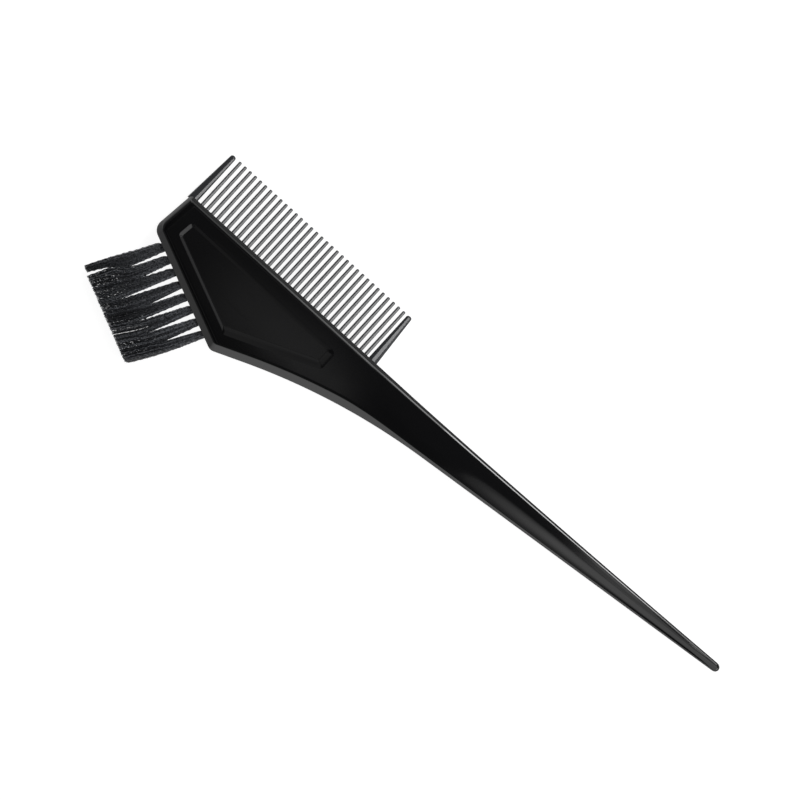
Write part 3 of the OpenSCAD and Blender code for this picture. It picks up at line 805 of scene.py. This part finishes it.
# %% A socket that can be reckoned with
class Field:
    def __init__(self, tree, socket):
        self.tree, self.socket = tree, socket

    def node(self, kind, settings=None, inputs=None, out=0):
        """Adds a node of a kind, with its settings and the values or links of its sockets."""
        made = self.tree.nodes.new(kind)
        for name, value in (settings or {}).items():
            setattr(made, name, value)
        for name, value in (inputs or {}).items():
            if isinstance(value, Field):
                self.tree.links.new(value.socket, made.inputs[name])
            else:
                made.inputs[name].default_value = value
        return Field(self.tree, made.outputs[out])

    def maths(self, operation, *values):
        return self.node("ShaderNodeMath", {"operation": operation}, dict(enumerate(values)))

    def __add__(self, other):
        return self.maths("ADD", self, other)

    def __sub__(self, other):
        return self.maths("SUBTRACT", self, other)

    def __rsub__(self, other):
        return self.maths("SUBTRACT", other, self)

    def __mul__(self, other):
        return self.maths("MULTIPLY", self, other)

    __radd__, __rmul__ = __add__, __mul__

    def between(self, low, high):
        """0 below low, 1 above high, and a smooth rise from the one to the other."""
        return self.node("ShaderNodeMapRange", {"interpolation_type": "SMOOTHSTEP"},
                         {"Value": self, "From Min": low, "From Max": high})

    def blend(self, first, second):
        """A colour between two, by this value."""
        return self.node("ShaderNodeMix", {"data_type": "RGBA"}, {0: self, 6: first, 7: second}, out=2)


def new_finish(name, **constants):
    """A material with its shader, and the coordinates that its patterns are drawn on."""
    material = bpy.data.materials.new(name)
    material.use_nodes = True
    tree = material.node_tree
    shader = tree.nodes["Principled BSDF"]
    for socket, value in constants.items():
        shader.inputs[socket.replace("_", " ")].default_value = value
    where = tree.nodes.new("ShaderNodeTexCoord")
    return material, shader, Field(tree, where.outputs["Object"])


def drive(shader, **links):
    for socket, field in links.items():
        field.tree.links.new(field.socket, shader.inputs[socket.replace("_", " ")])


def noise(where, scale, detail=4, stretch=(1, 1, 1), turn=0):
    """A noise of about 1 / scale metres, which may be stretched and turned."""
    mapped = where.node("ShaderNodeMapping",
                        inputs={"Vector": where, "Scale": stretch, "Rotation": (0, 0, turn)})
    return where.node("ShaderNodeTexNoise", inputs={"Vector": mapped, "Scale": scale, "Detail": detail})


# %% [markdown]
# ## Finishes
#
# The handle is black styrene: near black, with the soft gloss of a polished mould. It shows faint
# flow along its length, a fine grain and a few hair scratches from handling, which only catch the
# light. The floor of the recess is a little less glossy, and over part of its length it carries a
# painted sheen: its colour is made paler to stand in for the light it mirrors. The comb comes from
# another mould and is a touch greyer. The bristles are black nylon, whose strands differ a little
# in tone; towards the roots they are painted lighter, a painted light where the bundles are lit.
# The wire of the anchors is drawn steel.

# %% Moulded plastics
# These set a painted sheen: the floor of the recess is painted paler between two places along the
# handle.
PAINTED_SHEEN_FROM, PAINTED_SHEEN_TO = BENCH_ORIGIN.x / 1000 + 0.011, BENCH_ORIGIN.x / 1000 + 0.036
PAINTED_SHEEN_TONE = (0.012, 0.012, 0.0122, 1)


def moulded_plastic(name, dark, light, gloss, grain):
    material, shader, where = new_finish(name, IOR=1.52, Specular_IOR_Level=0.5)
    flow = noise(where, 60, 3, (0.25, 1, 1))
    smudge = noise(where, 28, 5)
    pores = noise(where, 2600, 2)
    scratch = noise(where, 420, 2, (0.05, 1, 1), 0.5).between(0.66, 0.74)
    # The floor mask lowers the gloss and also places the painted sheen.
    satin_and_sheen = where.node("ShaderNodeAttribute", {"attribute_name": "satin_and_sheen"}, out=2)
    along = where.node("ShaderNodeSeparateXYZ", inputs={"Vector": where})
    # Painted sheen: a paler colour on the floor of the recess, thinned by the smudge noise.
    painted_sheen = satin_and_sheen * along.between(PAINTED_SHEEN_FROM, PAINTED_SHEEN_TO) * (0.55 + 0.45 * smudge.between(0.35, 0.65))
    drive(shader,
          Base_Color=painted_sheen.blend(flow.between(0.3, 0.7).blend((*dark, 1), (*light, 1)), PAINTED_SHEEN_TONE),
          Roughness=gloss + 0.03 * smudge.between(0.35, 0.7) + 0.05 * scratch + 0.03 * satin_and_sheen,
          Normal=where.node("ShaderNodeBump", inputs={"Strength": grain, "Distance": 0.00002,
                                                      "Height": pores + 0.3 * flow - 0.2 * scratch}))
    return material


handle.data.materials.append(
    moulded_plastic("black_styrene", (0.004, 0.004, 0.0042), (0.006, 0.006, 0.0065), 0.062, 0.04))
comb.data.materials.append(
    moulded_plastic("comb_styrene", (0.04, 0.0415, 0.045), (0.05, 0.052, 0.056), 0.2, 0.04))
print("plastics on", handle.name, "and", comb.name)

# %% Nylon and wire
NYLON_DARK, NYLON_LIGHT = (0.004, 0.004, 0.0045, 1), (0.29, 0.302, 0.33, 1)


def nylon_finish():
    material, shader, where = new_finish("black_nylon", IOR=1.53, Specular_IOR_Level=0.5)
    # This attribute holds each strand's own tone and the painted light at its root.
    tone = where.node("ShaderNodeAttribute", {"attribute_name": "strand_tone_and_root_light"}, out=2)
    fibre = noise(where, 1400, 3)
    speckle = noise(where, 2300, 2).between(0.36, 0.64)
    drive(shader,
          Base_Color=((0.9 * tone + 0.05) * (0.2 + 1.6 * speckle)).blend(NYLON_DARK, NYLON_LIGHT),
          Roughness=0.26 + 0.12 * fibre)
    return material


def wire_finish():
    material, shader, where = new_finish("drawn_wire", Metallic=1.0)
    drawn = noise(where, 900, 4, (1, 0.06, 1))
    drive(shader,
          Base_Color=drawn.blend((0.5, 0.49, 0.46, 1), (0.68, 0.66, 0.62, 1)),
          Roughness=0.28 + 0.14 * drawn)
    return material


black_nylon = nylon_finish()
for tuft in tufts:
    tuft.data.materials.append(black_nylon)
drawn_wire = wire_finish()
for i in range(1, TUFT_COUNT + 1):
    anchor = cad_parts[f"anchor_{i}"]
    anchor.data.materials.clear()
    anchor.data.materials.append(drawn_wire)
print("nylon on", len(tufts), "tufts, wire on", TUFT_COUNT, "anchors")

# %% [markdown]
# ## Table, lights and camera
#
# The brush lies on a white table that runs up into a wall all round. The wall is white at its
# foot, fades to dark as it rises and is open at the top. A black, glossy thing shows what it
# mirrors: its flat face looks straight up into the dark, and its bevels look at the foot of the
# wall, so the edges draw themselves as light lines. Everything else that shines has its own light:
#
# - windows beyond the comb put the bright crease on the upper edge, strongest along the tail;
# - round panels over the tail make the long streak on its crown;
# - a side card and a fill card light the right flanks of the teeth;
# - small cards overhead are mirrored by one wall of the recess each, or by the upper side of the
#   tail;
# - small lamps make the faint glow on the face of the head.
#
# Lights that lie over each other are nested, the larger ones fainter, so that what they light fades
# out softly. They hang a centimetre apart, because lights in the same plane would not add up.
# The camera hangs straight above and is turned, so that the brush lies across the picture from
# corner to corner.

# %% The white table and wall
TABLE_R, COVE_R, COVE_STEPS, WALL_H = 1.9, 0.5, 8, 1.1

clear_selection()
bpy.ops.mesh.primitive_circle_add(vertices=96, radius=TABLE_R, fill_type="NGON")
table = start_piece("white_table")
bpy.ops.mesh.select_all(action="SELECT")
bpy.ops.mesh.region_to_loop()
for step in range(COVE_STEPS):
    a, b = math.pi / 2 * step / COVE_STEPS, math.pi / 2 * (step + 1) / COVE_STEPS
    size = (TABLE_R + COVE_R * math.sin(b)) / (TABLE_R + COVE_R * math.sin(a))
    bpy.ops.mesh.extrude_edges_move()
    bpy.ops.transform.resize(value=(size, size, 1), center_override=(0, 0, 0))
    bpy.ops.transform.translate(value=(0, 0, COVE_R * (math.cos(a) - math.cos(b))))
bpy.ops.mesh.extrude_edges_move()
bpy.ops.transform.translate(value=(0, 0, WALL_H))
bpy.ops.object.mode_set(mode="OBJECT")
bpy.ops.object.shade_smooth_by_angle(angle=math.radians(30))

table_top = new_finish("white_card", Roughness=0.9, Specular_IOR_Level=0.1, Emission_Strength=0.93,
                       Base_Color=(0.25, 0.25, 0.25, 1), Emission_Color=(1, 1, 1, 1))[0]
table.data.materials.append(table_top)
wall, shader, where = new_finish("wall", Roughness=0.9, Specular_IOR_Level=0.1, Emission_Strength=1.0,
                                 Base_Color=(0.15, 0.15, 0.15, 1))
height = where.node("ShaderNodeSeparateXYZ", inputs={"Vector": where}, out=2)
drive(shader, Emission_Color=height.between(-0.2, 0.8).blend((1, 1, 1, 1), (0.06, 0.06, 0.06, 1)))
table.data.materials.append(wall)
for face in table.data.polygons:
    face.material_index = int(face.center.z > 0.01)
print("table and wall:", len(table.data.polygons), "faces")

# %% Lights
def softbox(name, place, target, width, height, power, shape="RECTANGLE"):
    light = bpy.data.lights.new(name, "AREA")
    light.shape, light.size, light.size_y, light.energy = shape, width, height, power
    lamp = bpy.data.objects.new(name, light)
    bpy.context.collection.objects.link(lamp)
    lamp.location = place
    lamp.rotation_euler = (Vector(target) - Vector(place)).to_track_quat("-Z", "Y").to_euler()
    lamp.visible_camera = False


WINDOWS = (0, 0.7, 1.15), (0.11, 0.47, 1.13), (0.125, 0.33, 1.59), (0.115, 0.17, 2.17)
for step, (x, width, power) in enumerate(WINDOWS):
    softbox("window", (x, 0.849 - 0.01 * step, 0.617), (x, -0.01 * step, 0), width, 0.582, power)
for step, size in enumerate((0.58, 0.625, 0.67, 0.715)):
    place = Vector((0.469, -0.081, 1.01 - 0.01 * step))
    softbox("round_panel", place, place - Vector((0, 0, 1)), 1.067 * size, size, 0.83 * size ** 2,
            "ELLIPSE")
softbox("fill_card", (0.98, -0.13, 0.955), (0.98, -0.13, 0), 0.5, 0.9, 1.96)
softbox("side_card", (0.77, 0.1, 0.8), (0, 0, 0), 0.4, 0.32, 2.0)
CARDS = (
    (0.275, 0.38, 0.22, 0.48, 0.27),
    (0.06, 0.55, 0.3, 0.25, 0.118),
    (-0.15, 0.115, 0.2, 0.13, 0.0163),
    (-0.25, -0.005, 0.09, 0.08, 0.005),
    (-0.1, -0.45, 0.6, 0.15, 0.04))
for step, (x, y, width, height, power) in enumerate(CARDS):
    softbox("card", (x, y, 0.97 - 0.01 * step), (x, y, 0), width, height, power)
LAMPS = (
    (-0.095, -0.0055, 0.14, 0.028, 0.26),
    (-0.085, -0.0075, 0.1, 0.025, 0.33),
    (-0.075, -0.0085, 0.07, 0.018, 0.33))
for step, (x, y, width, depth, glow) in enumerate(LAMPS):
    place = Vector((x, y, 1 - 0.01 * step))
    softbox("small_lamp", place, place - Vector((0, 0, 1)), width, depth, glow * width * depth,
            "ELLIPSE")
print("lights:", len(bpy.data.lights))

# %% The dark above, and the camera
world = bpy.data.worlds.new("dark_ceiling")
world.use_nodes = True
world.node_tree.nodes["Background"].inputs["Color"].default_value = (0.02, 0.02, 0.021, 1)
bpy.context.scene.world = world
bpy.context.scene.view_settings.view_transform = "Standard"

ROLL = math.radians(42.4)
FRAME_WIDTH = 0.232
CAMERA_HEIGHT = 0.9
lens = bpy.data.cameras.new("camera")
lens.sensor_width = 36
lens.lens = 36 * CAMERA_HEIGHT / FRAME_WIDTH
camera = bpy.data.objects.new("camera", lens)
bpy.context.collection.objects.link(camera)
aim = (BENCH_ORIGIN + Vector((84.7, -3.1, 1.5))) / 1000
camera.location = aim + Vector((0, 0, CAMERA_HEIGHT))
camera.rotation_euler = (0, 0, ROLL)
bpy.context.scene.camera = camera
print("camera over", [round(1000 * v, 1) for v in aim])
